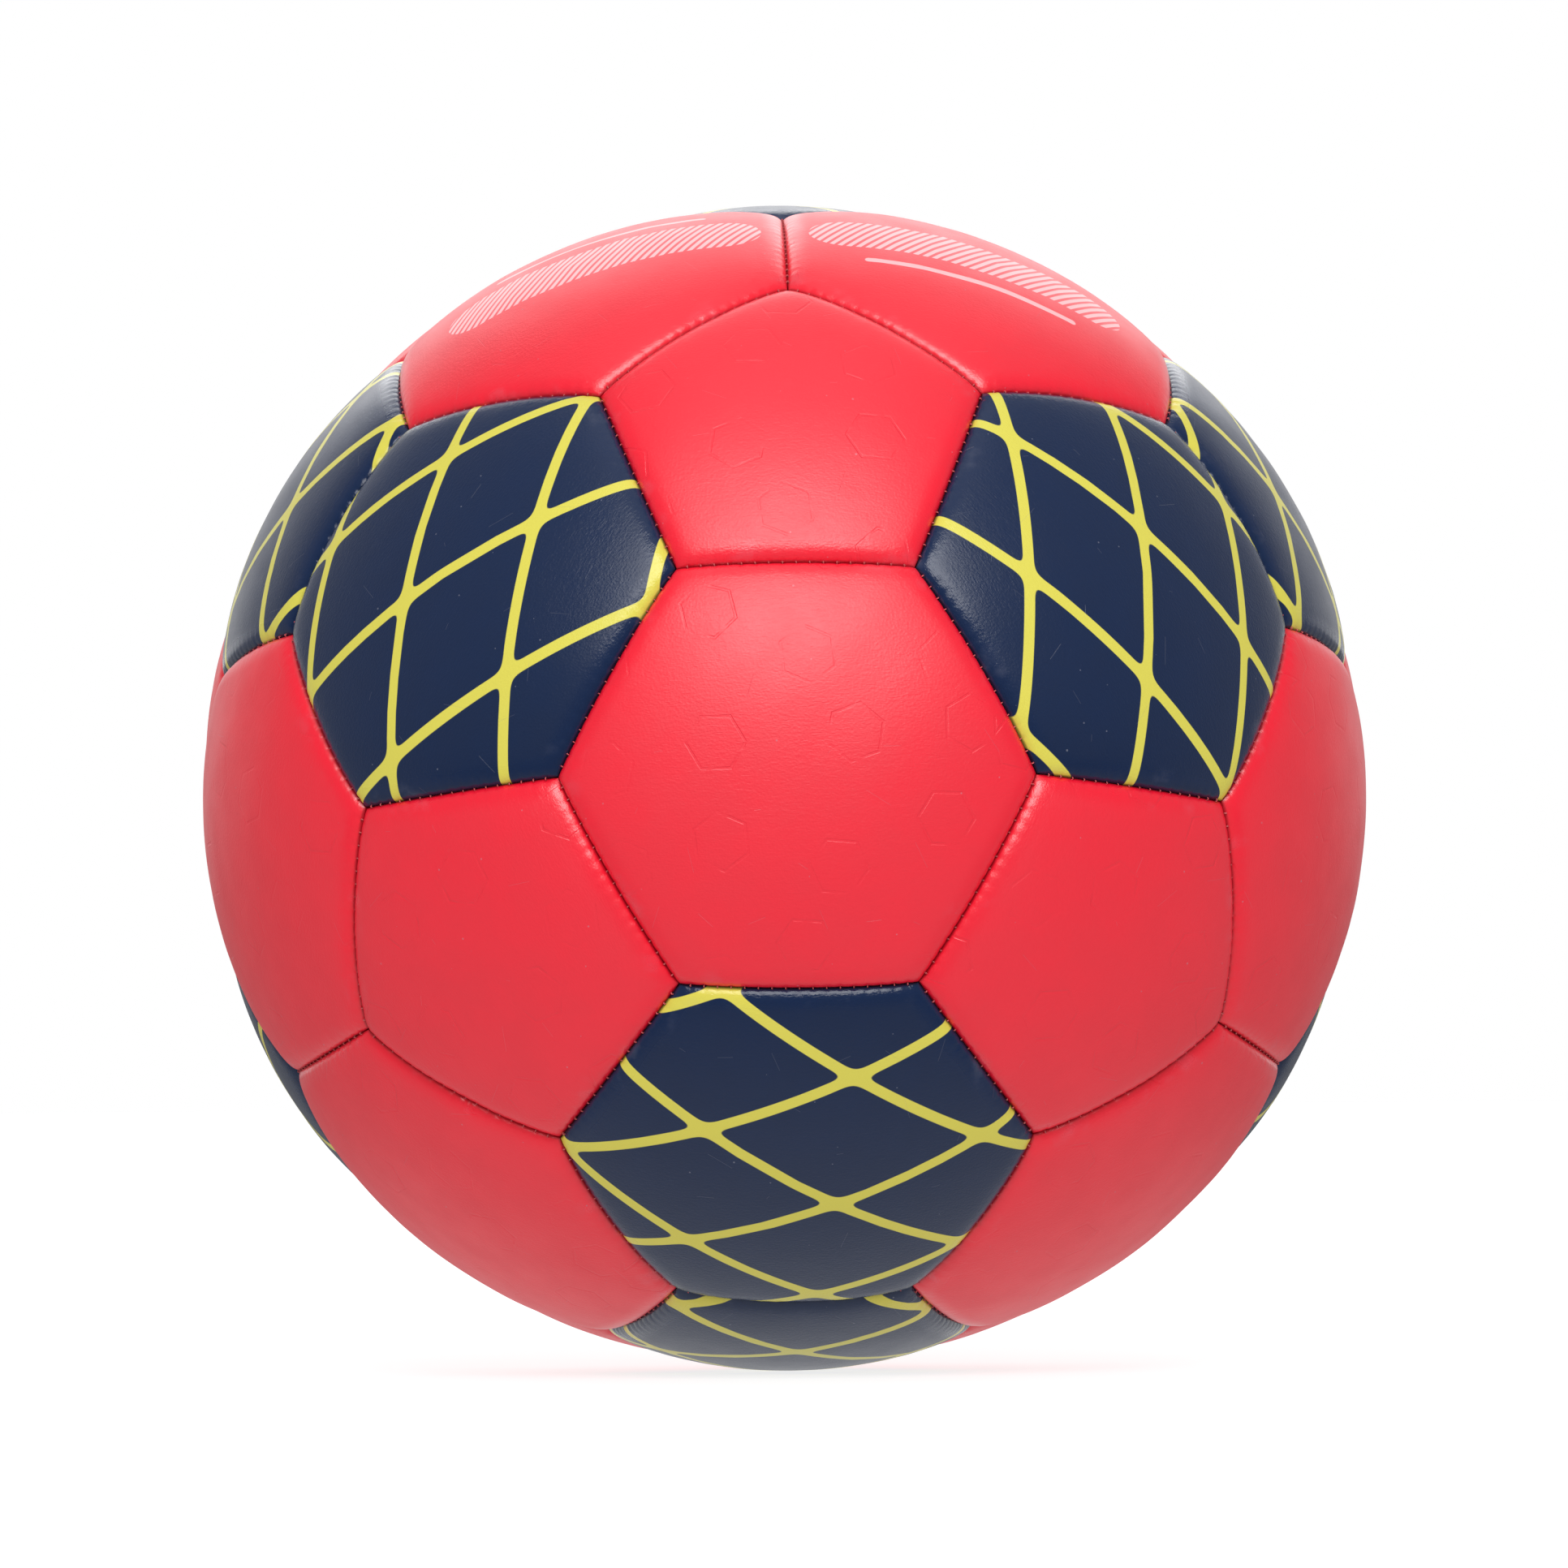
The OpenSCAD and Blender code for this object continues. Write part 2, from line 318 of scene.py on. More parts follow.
lining_bump = 0.08 * mm
polyester = "#e2ddd0"
polyester_shade = "#b3ab98"


def corner_angle(sides):
    """Lean of a panel's corners from its axis. The corners of a truncated icosahedron lie
    corner_share times as far out as its sides are long."""
    return math.asin(1 / (2 * math.sin(math.pi / sides)) / corner_share)


def side_angle(sides):
    """Lean of the middles of a panel's sides from its axis."""
    return math.atan(math.tan(corner_angle(sides)) * math.cos(math.pi / sides))


def direction(lean, turn):
    """Unit vector that leans away from the front axis, turned round it from +X to +Z."""
    return np.array([math.sin(lean) * math.cos(turn), -math.cos(lean), math.sin(lean) * math.sin(turn)])


def panel_axes():
    """Outward axes of the hexagons and of the pentagons, in the order of their nodes."""
    hex_near = math.acos(math.sqrt(5) / 3)
    hex_far = math.acos(1 / 3)
    pent_near = math.acos(math.sqrt((5 + 2 * math.sqrt(5)) / 15))
    pent_far = math.acos(math.sqrt((5 - 2 * math.sqrt(5)) / 15))
    cosine = math.cos(hex_near) * (1 - math.cos(hex_far)) / (math.sin(hex_near) * math.sin(hex_far))
    spread = math.acos(cosine)
    upper = np.radians([90, 210, 330])
    lower = np.radians([30, 150, 270])
    hexagons = [direction(0, 0)] + [direction(hex_near, turn) for turn in lower]
    hexagons += [direction(hex_far, turn + side * spread) for turn in lower for side in (-1, 1)]
    pentagons = [direction(pent_near, turn) for turn in upper] + [direction(pent_far, turn) for turn in lower]
    return [axes + [-axis for axis in reversed(axes)] for axes in (hexagons, pentagons)]


def unit(vector):
    """A vector of the same direction, 1 long."""
    return vector / np.linalg.norm(vector)


def nearest(axis, others):
    """The first of the axes that lie nearest to an axis. Equal ones may differ in the last digits."""
    return max(others, key=lambda other: round(float(axis @ other), tie_digits))


def placement(axis, towards):
    """Rows that turn a panel built round +Z to its axis, with its +X side towards another."""
    across = unit(towards - axis * (axis @ towards))
    return np.stack([across, np.cross(axis, across), axis])


def at_the_back(turned):
    """Whether a panel is the one round the valve, whose axis is +Y."""
    return turned[2][1] > back_share


hexagon_axes, pentagon_axes = panel_axes()
placements = {
    6: [placement(axis, nearest(axis, pentagon_axes)) for axis in hexagon_axes],
    5: [placement(axis, nearest(axis, hexagon_axes)) for axis in pentagon_axes],
}


def crown_radius(directions, sides):
    """Radius of the crowned outside, which is seam_dip lower in the middle of a seam."""
    side_r = ball_r - seam_dip
    shift = (ball_r ** 2 - side_r ** 2) / (2 * (ball_r - side_r * math.cos(side_angle(sides))))
    lean = directions[:, 2]
    return shift * lean + np.sqrt((ball_r - shift) ** 2 - shift ** 2 * (1 - lean ** 2))


def ring(sides, to_seam, per_side, ease=0):
    """Unit directions of one ring round +Z at a distance from the seams, rounder further in.
    At the seams, its corners are drawn in by ease, in millimetres."""
    if not per_side:
        return np.array([[0.0, 0.0, 1.0]])
    apothem = math.tan(side_angle(sides) - to_seam / ball_r)
    sloped = math.hypot(1, apothem)
    half = math.atan(apothem * math.tan(math.pi / sides) / sloped)
    along = half * (2 * np.arange(per_side) / per_side - 1)
    points = np.stack([np.full(per_side, apothem), sloped * np.tan(along)])
    reach = np.hypot(*points)
    share = np.clip((to_seam - round_from) / (round_to - round_from), 0, 1)
    share = share * share * (3 - 2 * share)
    to_corner = ball_r * (half - np.abs(along))
    near_corner = np.exp(-(to_corner / ease_reach) ** 2)
    eased = ease * near_corner * math.exp(-abs(to_seam) / ease_reach) / ball_r
    points = points * (1 - share + share * apothem / reach - eased / reach)
    turns = 2 * np.pi * np.arange(sides) / sides
    x = np.cos(turns)[:, None] * points[0] - np.sin(turns)[:, None] * points[1]
    y = np.sin(turns)[:, None] * points[0] + np.cos(turns)[:, None] * points[1]
    flat = np.stack([x.ravel(), y.ravel(), np.ones(sides * per_side)], 1)
    return flat / np.linalg.norm(flat, axis=1)[:, None]


def circle(sides, radius):
    """Unit directions of a round ring of a radius in millimetres, in step with the other rings."""
    count = sides * hole_points
    turns = 2 * np.pi * np.arange(count) / count - np.pi / sides
    lean = radius / ball_r
    x = np.sin(lean) * np.cos(turns)
    y = np.sin(lean) * np.sin(turns)
    return np.stack([x, y, np.full(count, np.cos(lean))], 1)


def inner_steps(sides, steps):
    """Distances to the seam and points per side of rings, from the middle of a panel outwards."""
    reach = side_angle(sides) * ball_r
    return [(reach, 0), (reach * middle_share, middle_points), *steps]


def joined(first, second, start, then):
    """Faces between two rings of first and second points, which may differ twofold."""
    faces = []
    count = max(first, second) if 1 in (first, second) else min(first, second)
    for j in range(count):
        k = (j + 1) % count
        if first == 1:
            faces.append((start, then + j, then + k))
        elif second == 1:
            faces.append((start + j, then, start + k))
        elif first == second:
            faces.append((start + j, then + j, then + k, start + k))
        elif first > second:
            a, b, c = start + 2 * j, start + 2 * j + 1, start + 2 * k
            faces += [(a, then + j, b), (b, then + j, then + k), (b, then + k, c)]
        else:
            a, b, c = then + 2 * j, then + 2 * j + 1, then + 2 * k
            faces += [(start + j, a, b), (start + j, b, start + k), (start + k, b, c)]
    return faces


def loft_faces(counts):
    """Faces of a closed form, a list for each pair of rings. Its rings run from one middle
    to the other or, where they start with more than one point, round and back to the first."""
    starts = np.concatenate([[0], np.cumsum(counts)[:-1]]).tolist()
    pairs = [(at, at + 1) for at in range(len(counts) - 1)]
    if counts[0] > 1:
        pairs.append((len(counts) - 1, 0))
    return [joined(counts[a], counts[b], starts[a], starts[b]) for a, b in pairs]


def add_object(name, data):
    """A new object of the scene, round a mesh, a lamp or a lens."""
    added = bpy.data.objects.new(name, data)
    bpy.context.scene.collection.objects.link(added)
    return added


def new_piece(name, points, faces, material, node):
    """A mesh of points in millimetres that stands for a node of the frame."""
    mesh = bpy.data.meshes.new(name)
    mesh.from_pydata((np.asarray(points) * mm).tolist(), [], faces)
    mesh.shade_smooth()
    mesh.set_sharp_from_angle(angle=sharp_angle)
    mesh.materials.append(material)
    piece = add_object(name, mesh)
    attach(piece, "root")
    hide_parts(node)
    return piece


def keep_values(piece, name, values):
    """Stores a number or a vector for each point, for the material to read."""
    kind, field = ("FLOAT", "value") if values.ndim == 1 else ("FLOAT_VECTOR", "vector")
    layer = piece.data.attributes.new(name, kind, "POINT")
    layer.data.foreach_set(field, values.astype(np.float32).ravel())


def read_values(tree, name):
    """Outputs that give a material the values kept on its piece."""
    return put(tree, "Attribute", attribute_type="GEOMETRY", attribute_name=name).outputs


def laid_flat(directions, axis, up):
    """Across and up of directions, in millimetres, on the skin unrolled round an axis."""
    across = np.cross(up, axis)
    lean = np.arccos(np.clip(directions @ axis, -1, 1))
    sideways = np.stack([directions @ across, directions @ up], 1)
    length = np.maximum(np.linalg.norm(sideways, axis=1), tiny)
    return sideways / length[:, None] * (ball_r * lean)[:, None]


def padding(layer, rings_of, hole_r, material, nodes):
    """A mesh of all hexagons of a padding layer, and one of all its pentagons. Each panel
    has rings with their radii, and the one at the valve has a hole."""
    pieces = []
    for shape, sides in shapes.items():
        points, faces, flat = [], [], []
        for turned in placements[sides]:
            _, up, axis = turned
            rings = rings_of(sides, hole_r if at_the_back(turned) else 0)
            start = sum(len(part) for part in points)
            for part, radii in rings:
                world = part @ turned
                points.append(world * np.reshape(radii, (-1, 1)))
                flat.append(laid_flat(world, axis, up))
            for pair in loft_faces([len(part) for part, _ in rings]):
                faces += [tuple(start + at for at in face) for face in pair]
        name, node = f"{layer}_{shape}s", f"{shape}_{nodes}"
        piece = new_piece(name, np.concatenate(points), faces, material, node)
        keep_values(piece, "cloth_at", np.pad(np.concatenate(flat) * mm, ((0, 0), (0, 1))))
        pieces.append(piece)
    return pieces


def lining_rings(sides, hole_r):
    """Rings over the outside of a lining, down its cut edge and back under it."""
    if hole_r:
        rings = [circle(sides, hole_r)]
    else:
        rings = [ring(sides, to_seam, count) for to_seam, count in inner_steps(sides, lining_steps)]
    rings.append(ring(sides, pad_edge, edge_points))
    return [(part, lining_out_r) for part in rings] + [(part, lining_in_r) for part in reversed(rings)]


lining_cloth, tree, shader = start_material("lining_cloth", Sheen_Weight=cloth_sheen)
axes = split(tree, read_values(tree, "cloth_at")["Vector"])
finish_cloth(tree, shader, axes["X"], axes["Y"], lining_yarn, polyester, polyester_shade, lining_bump)
padding("lining", lining_rings, patch_hole_r, lining_cloth, "linings")

# The foam pads are fine closed-cell foam, glued between each lining and its
# cover. They are thickest in the middle, which gives each panel its crown, and
# they are pressed round at the edges, where the cover is drawn over them.
foam_in_r = lining_out_r + layer_gap
boot_hole_r = 4.3
foam_steps = ((10, 8), (5, 16))
pressed_edge = ((1.4, 0), (0.7, 0.08), (0.25, 0.3), (0, 0.75))
foot_round = 0.3
foam_cream = "#efe9da"
foam_shade = "#c4bba3"
foam_cell = 0.35 * mm
foam_patch = 12 * foam_cell
cell_levels = (0.1, 0.7)
foam_patch_levels = (0.4, 0.8)
foam_patch_shade = 0.3
foam_dullness = (0.75, 0.9)
foam_bump = 0.05 * mm

foam, tree, shader = start_material("closed_cell_foam", Specular_IOR_Level=0.3, Subsurface_Weight=0.1)
foam_place = place_on(tree)
cells = put(tree, "TexVoronoi", foam_place, None, 1 / foam_cell, feature="SMOOTH_F1").outputs["Distance"]
tint = grains(tree, foam_place, foam_patch, detail=3)
# The foam is darker in the hollows of its cells, which is painted shade, and in soft patches, which is its
# own tone.
foam_base = blended(tree, step_up(tree, cells, *cell_levels), colour(foam_shade), colour(foam_cream))
patches = step_up(tree, tint, *foam_patch_levels, 0, foam_patch_shade)
foam_base = blended(tree, patches, foam_base, colour(foam_shade))
finish_surface(tree, shader, foam_base, step_up(tree, tint, *noise_span, *foam_dullness), cells, foam_bump)


def foam_rings(sides, hole_r):
    """Rings over the crown of a pad, round its pressed edge and back under it."""
    def crowned(part, drop=0):
        return part, crown_radius(part, sides) - skin_t - layer_gap - drop

    steps = foam_steps if hole_r else inner_steps(sides, foam_steps)
    inner = [ring(sides, to_seam, count) for to_seam, count in steps]
    rings = [crowned(part) for part in inner]
    if hole_r:
        hole = circle(sides, hole_r)
        rim = circle(sides, hole_r + foot_round)
        rings = [(hole, foam_in_r), crowned(hole, foot_round), crowned(rim)] + rings
    rings += [crowned(ring(sides, pad_edge + inward, edge_points), drop) for inward, drop in pressed_edge]
    rings.append((ring(sides, pad_edge, edge_points), foam_in_r + foot_round))
    rings.append((ring(sides, pad_edge + foot_round, edge_points), foam_in_r))
    return rings + [(part, foam_in_r) for part in reversed(inner)]


for pads in padding("foam", foam_rings, boot_hole_r, foam, "foam_pads"):
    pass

# The covers are 20 hexagons and 12 pentagons, die cut from synthetic leather of
# grained polyurethane. Their edges are turned in and sewn to each other, which
# rolls them over the foam into a narrow groove with a needle hole at each stitch.
half_seam = math.asin(1 / (2 * corner_share))
groove_depths = ((0.45, 3.4), (0.95, 1.0), (0.3, 0.3))
lip_gap = 0.04
corner_depth = 0.15
corner_width = 2.2
corner_ease = 0.12
stitch_pitch = 2.15
stitches_each_way = 8
needle_depth = 0.16
needle_inward = 0.26
needle_width = 0.15
least_needle_share = 0.35
pull_depth = 0.1
pull_width = 0.7
pull_sharpness = 3
gather_depth = 0.025
gather_width = 2.4
wave_count = 9
wave_gain = 1.6
sway_depth = 0.11
sway_length = 22
pucker_depth = 0.06
pucker_length = 7
wall_drop = 0.35
wall_foot = 0.8
wall_spread = 0.4
thread_lift = 0.3
thread_r = lining_out_r + thread_lift
thread_room = 0.5
room_round = 0.1
roof_steps = ((12, 8), (4, 8))
valve_rim = ((3.7, 0, 0), (1, 0, 0), (0.35, 0.05, 0), (0.1, 0.2, 0), (0, 0.5, -0.3))
hole_spread = -1
most_points = 128
most_points_reach = 2
ring_growth = 1.36
ring_share = 0.88
map_margin = 0.01
map_inner_share = 0.16
navy_panels = {6: (1, 2, 3, 16, 17, 18), 5: (3, 4, 5, 6, 7, 8)}
banded_panels = (5, 6, 13, 14)


def cover_rings(sides, holed):
    """Rings of a cover from the middle of its face, over its edge, down the seam and back
    inside. Each has its directions, what its radius follows, the drop below that, and how
    far it spreads on the flat map. Also which ring is the foot of the seam."""
    reach = side_angle(sides) * ball_r
    gap = lip_gap / 2
    rings = []
    to_seam = gap
    while to_seam < ring_share * reach:
        per_side = min(most_points, 2 ** int(math.log2(most_points_reach * most_points / to_seam)))
        rings.append((ring(sides, to_seam, per_side, corner_ease), "face", 0, 0))
        to_seam *= ring_growth
    if holed:
        rings.pop()
        rings += [(circle(sides, boot_hole_r + out), "face", drop, spread) for out, drop, spread in valve_rim]
        rings.append((circle(sides, boot_hole_r), "roof", 0, hole_spread))
    else:
        rings.append((ring(sides, reach, 0), "face", 0, 0))
    rings.reverse()
    room_top = thread_r + thread_room
    room_foot = thread_r - thread_room
    wall = [
        (gap, 4 * edge_points, "face", wall_drop),
        (gap, 2 * edge_points, thread_r + wall_foot, 0),
        (gap, edge_points, room_top, 0),
        (thread_room, edge_points, room_top - room_round, 0),
        (thread_room, edge_points, room_foot + room_round, 0),
        (gap, edge_points, room_foot, 0),
        (gap, edge_points, lining_in_r, 0),
    ]
    for number, (to_seam, per_side, level, drop) in enumerate(wall):
        ease = corner_ease if to_seam == gap else 0
        rings.append((ring(sides, to_seam, per_side, ease), level, drop, (number + 1) * wall_spread))
    foot = len(rings) - 1
    pocket = ring(sides, seam_gap / 2 + skin_t, edge_points)
    rings += [(pocket, lining_in_r, 0, 2 * wall_spread), (pocket, "roof", 0, 0)]
    steps = inner_steps(sides, roof_steps)
    if holed:
        steps = steps[1:]
    rings += [(ring(sides, to_seam, count), "roof", 0, 0) for to_seam, count in reversed(steps)]
    return rings, foot


def seam_places(directions, sides):
    """Distances in millimetres to each seam, how far along the nearest one from its middle,
    and which one that is. Of two that are equally near, it is the first."""
    turns = 2 * np.pi * np.arange(sides) / sides
    lean = side_angle(sides)
    out = np.stack([np.cos(turns), np.sin(turns), 0 * turns], 1)
    tangent = np.stack([-np.sin(turns), np.cos(turns), 0 * turns], 1)
    normal = out * math.cos(lean) - np.array([0, 0, math.sin(lean)])
    middle = out * math.sin(lean) + np.array([0, 0, math.cos(lean)])
    distances = ball_r * np.arcsin(np.clip(-directions @ normal.T, -1, 1))
    side = np.argmin(np.round(distances, tie_digits), axis=1)
    rows = np.arange(len(directions))
    along = np.arctan2((directions @ tangent.T)[rows, side], (directions @ middle.T)[rows, side])
    return distances, ball_r * along, side


def sway(directions, rng, length):
    """Smooth waves from about -1 to 1 over the ball, of about a length in millimetres."""
    waves = rng.normal(size=(wave_count, 3)) * (2 * np.pi * ball_r / length / math.sqrt(3))
    starts = rng.uniform(0, 2 * np.pi, wave_count)
    return np.cos(directions @ waves.T + starts).mean(1) * wave_gain


def cover_face(directions, sides, rng):
    """Radius of the outside of a cover, its distance to the seam, and its needle holes."""
    distances, along, side = seam_places(directions, sides)
    to_seam = distances.min(1)
    radius = crown_radius(directions, sides)
    for depth, width in groove_depths:
        radius -= depth * (1 - np.prod(1 - np.exp(-np.maximum(distances, 0) / width), axis=1))
    to_corner = np.maximum(ball_r * half_seam - np.abs(along), 0)
    radius -= corner_depth * np.exp(-to_corner / corner_width) * np.exp(-to_seam / corner_width)
    stitch = np.round(along / stitch_pitch)
    off = along - stitch * stitch_pitch
    sewn = (np.abs(stitch) <= stitches_each_way).astype(float)
    tightness = rng.uniform(least_needle_share, 1, (sides, 2 * stitches_each_way + 1))
    number = np.clip(stitch, -stitches_each_way, stitches_each_way).astype(int) + stitches_each_way
    sewn *= tightness[side, number]
    needle = sewn * np.exp(-((to_seam - needle_inward) / needle_width) ** 2 - (off / needle_width) ** 2)
    beat = np.cos(2 * np.pi * off / stitch_pitch)
    pull = sewn * (0.5 + 0.5 * beat) ** pull_sharpness * np.exp(-(to_seam / pull_width) ** 2)
    gather = sewn * beat * np.exp(-(to_seam / gather_width) ** 2)
    radius -= needle_depth * needle + pull_depth * pull + gather_depth * gather
    radius += sway_depth * sway(directions, rng, sway_length)
    radius += pucker_depth * sway(directions, rng, pucker_length) * np.exp(-to_seam / gather_width)
    return radius, to_seam, needle


def cover_map(rings, foot, flat):
    """Flat maps of a cover's outside and of its inside, which fit in one square together."""
    spread = np.concatenate([np.full(len(part), out) for part, _, _, out in rings])
    length = np.maximum(np.linalg.norm(flat, axis=1), tiny)[:, None]
    flat = flat * (1 + spread[:, None] / length)
    last = sum(len(part) for part, _, _, _ in rings[:foot + 1])
    low, high = flat[:last].min(0), flat[:last].max(0)
    scale = (1 - 2 * map_margin) / (high - low).max()
    outside = (flat - low) * scale + map_margin
    inner_r = np.linalg.norm(flat, axis=1).max() * scale * map_inner_share
    inside = flat * scale * map_inner_share + np.array([map_margin + inner_r, 1 - map_margin - inner_r])
    return outside, inside


def lay_on_map(piece, pairs, foot, outside, inside):
    """Gives a cover its map, which is the outside one down to the foot of the seam."""
    places = []
    for at, pair in enumerate(pairs):
        side_map = outside if at < foot else inside
        places += [side_map[list(face)] for face in pair]
    layer = piece.data.uv_layers.new(name="OFBake")
    layer.data.foreach_set("uv", np.concatenate(places).astype(np.float32).ravel())


def cover_pieces(shape, sides):
    """Makes the covers of one shape, each with the rings, waves and map of its own panel."""
    y_axis, z_axis = np.array([0.0, 1, 0]), np.array([0.0, 0, 1])
    for number, turned in enumerate(placements[sides]):
        rng = np.random.default_rng(100 * sides + number)
        rings, foot = cover_rings(sides, at_the_back(turned))
        local = np.concatenate([part for part, _, _, _ in rings])
        radius, to_seam, needle = cover_face(local, sides, rng)
        start = 0
        for part, level, drop, _ in rings:
            rows = slice(start, start + len(part))
            if level == "face":
                radius[rows] -= drop
            elif level == "roof":
                radius[rows] = crown_radius(part, sides) - skin_t
            else:
                radius[rows] = level
            start = rows.stop
        pairs = loft_faces([len(part) for part, _, _, _ in rings])
        faces = [face for pair in pairs for face in pair]
        world = local @ turned
        slot, material = cover_finish(sides, number)
        name = f"cover_{shape}_{number + 1:02d}"
        node = f"{shape}_panel_{number + 1:02d}"
        piece = new_piece(name, world * radius[:, None], faces, material, node)
        axis, up, shift = artwork_place(sides, number)
        at = laid_flat(world, axis, up) - np.array([0, shift])
        keep_values(piece, "panel_at", np.column_stack([at, to_seam]) * mm)
        keep_values(piece, "needle", needle)
        lay_on_map(piece, pairs, foot, *cover_map(rings, foot, laid_flat(local, z_axis, y_axis)))


red = "#f31530"
navy = "#18294a"
net_yellow = "#dad155"
band_pink = "#ffb3b8"
# The seam colours are the darker tone of each skin's random mottle, and painted shade in its seam grooves and
# needle holes.
red_mottle_and_seam_shade = "#960a18"
navy_mottle_and_seam_shade = "#070b18"
# Pale grey of light specks and scratches, and of the rubbed shoulders, where it is also painted sheen.
scuff_and_sheen_grey = "#9a9cab"
red_gloss = 0.82
red_dullness = 0.37
navy_gloss = 0.42
navy_dullness = 0.27
cover_bump = 0.07 * mm
net_slants = (math.radians(23), math.radians(-35.2))
net_crossing = (-6 * mm, 5 * mm)
net_pitch = 21.5 * mm
net_line = 0.9 * mm
net_fillet = 2.4 * mm
print_soft = 0.07 * mm
print_relief = 0.12
pentagon_shift = -1.8
band_across = 4 * mm
band_half_w = 6.5 * mm
band_half_l = 20 * mm
hatch_slant = math.radians(62)
hatch_pitch = 1.35 * mm
hatch_line = 0.38 * mm
stripe_up = 11.5 * mm
stripe_half_w = 0.7 * mm
stripe_half_l = 17 * mm
cell_scatter = 0.6
deboss_cell = 17 * mm
deboss_half = 4 * mm
deboss_line = 0.2 * mm
deboss_worn = (0.35, 0.6)
deboss_strength = (0.4, 1)
deboss_relief = 0.7
scratch_cell = 9 * mm
scratch_half_w = 0.06 * mm
scratch_half_l = 0.25 * scratch_cell
scratch_relief = 0.3
scratch_pale = 0.15
grain_size = 0.42 * mm
pebble_relief = 0.25
mottle_grains = 16
mottle_relief = 0.5
mottle_tint = 0.05
mottle_dullness = 0.12
wrinkle_grains = 3
wrinkle_stretch = (0.7, 3, 1)
wrinkle_relief = 0.5
speck_gap = 3.2 * mm
speck_share = 0.06
speck_pale = 0.3
seam_reach = 0.42 * mm
seam_painted_shade = 0.7
seam_painted_shade_from = 0.2
needle_painted_shade = 0.35
shoulder_reaches = (3, 10)
shoulder_shine = 0.13
worn_reaches = 14
worn_levels = (0.55, 0.75)
worn_shine = 0.06
worn_pale_and_sheen = 0.1


def artwork_place(sides, number):
    """Axis and up direction of a panel's print, and how far it is shifted up. The net of a
    navy pentagon goes on from its hexagon, but it is printed nearer to the seam."""
    across, _, axis = placements[sides][number]
    if number in navy_panels[sides]:
        other = 5 if sides == 6 else 6
        pair = nearest(axis, [placements[other][at][2] for at in navy_panels[other]])
        if sides == 6:
            return axis, unit(pair - axis * (axis @ pair)), 0
        return pair, unit(axis - pair * (axis @ pair)), pentagon_shift
    if sides == 6 and number in banded_panels:
        twin = axis * np.array([-1, 1, 1])
        return axis, np.cross(axis, unit(twin - axis * (axis @ twin))), 0
    return axis, across, 0


stripe_distance, given, gives = start_group(
    "stripe_distance",
    {"Across": "Float", "Up": "Float", "Slant": "Float", "Pitch": "Float", "Offset": "Float"},
    {"Distance": "Float"},
)
tree = stripe_distance
sideways = times(tree, given["Across"], calc(tree, "SINE", given["Slant"]))
upwards = times(tree, given["Up"], calc(tree, "COSINE", given["Slant"]))
slanted = calc(tree, "SUBTRACT", upwards, sideways)
beyond = calc(tree, "SUBTRACT", slanted, given["Offset"])
half_pitch = times(tree, given["Pitch"], 0.5)
feed(tree, gives["Distance"], calc(tree, "PINGPONG", beyond, half_pitch))

cover_grain, given, gives = start_group(
    "cover_grain",
    {"Place": "Vector", "Flat": "Vector", "Grain": "Float", "Speck gap": "Float"},
    {"Height": "Float", "Mottle": "Float", "Specks": "Float"},
)
tree = cover_grain
pebble_scale = calc(tree, "DIVIDE", 1, given["Grain"])
pebble = put(tree, "TexVoronoi", given["Place"], None, pebble_scale)
mottle_size = times(tree, given["Grain"], mottle_grains)
mottle = grains(tree, given["Place"], mottle_size, detail=4)
drawn_out = put(tree, "VectorMath", given["Flat"], wrinkle_stretch, operation="MULTIPLY").outputs[0]
wrinkle_size = times(tree, given["Grain"], wrinkle_grains)
wrinkles = grains(tree, drawn_out, wrinkle_size, detail=4, distortion=1.5)
speck_scale = calc(tree, "DIVIDE", 1, given["Speck gap"])
specks = put(tree, "TexVoronoi", given["Place"], None, speck_scale)
chance = split(tree, specks.outputs["Color"])["X"]
speck_size = times(tree, chance, speck_share)
mottled = times(tree, mottle, mottle_relief)
relief = calc(tree, "MULTIPLY_ADD", pebble.outputs["Distance"], pebble_relief, mottled)
feed(tree, gives["Height"], calc(tree, "MULTIPLY_ADD", wrinkles, wrinkle_relief, relief))
feed(tree, gives["Mottle"], mottle)
feed(tree, gives["Specks"], calc(tree, "LESS_THAN", specks.outputs["Distance"], speck_size))

# The seam edge's first output is painted shade: the skin is darkened into the seam's groove and at each
# needle hole, where shade falls.
seam_edge, given, gives = start_group(
    "seam_edge",
    {"Place": "Vector", "To seam": "Float", "Needle": "Float", "Reach": "Float"},
    {"Painted shade": "Float", "Shoulder": "Float", "Rubbed and sheen": "Float"},
)
tree = seam_edge
dark_from = times(tree, given["Reach"], seam_painted_shade_from)
deep = step_up(tree, given["To seam"], dark_from, given["Reach"], seam_painted_shade, 0)
needle_hole_shade = times(tree, given["Needle"], needle_painted_shade)
feed(tree, gives["Painted shade"], calc(tree, "MAXIMUM", deep, needle_hole_shade))
shoulder_span = [times(tree, given["Reach"], reaches) for reaches in shoulder_reaches]
shoulder = step_up(tree, given["To seam"], *shoulder_span, 1, 0)
# The pale patches along the shoulders are rubbed wear, and painted sheen there too.
worn_size = times(tree, given["Reach"], worn_reaches)
worn = step_up(tree, grains(tree, given["Place"], worn_size, detail=6), *worn_levels)
feed(tree, gives["Shoulder"], shoulder)
feed(tree, gives["Rubbed and sheen"], times(tree, shoulder, worn))


def capsule(tree, across, up, half_length):
    """Distance from a line that lies across, of half a length either side."""
    past = calc(tree, "MAXIMUM", calc(tree, "SUBTRACT", calc(tree, "ABSOLUTE", across), half_length), 0)
    square = calc(tree, "MULTIPLY_ADD", up, up, times(tree, past, past))
    return calc(tree, "SQRT", square)


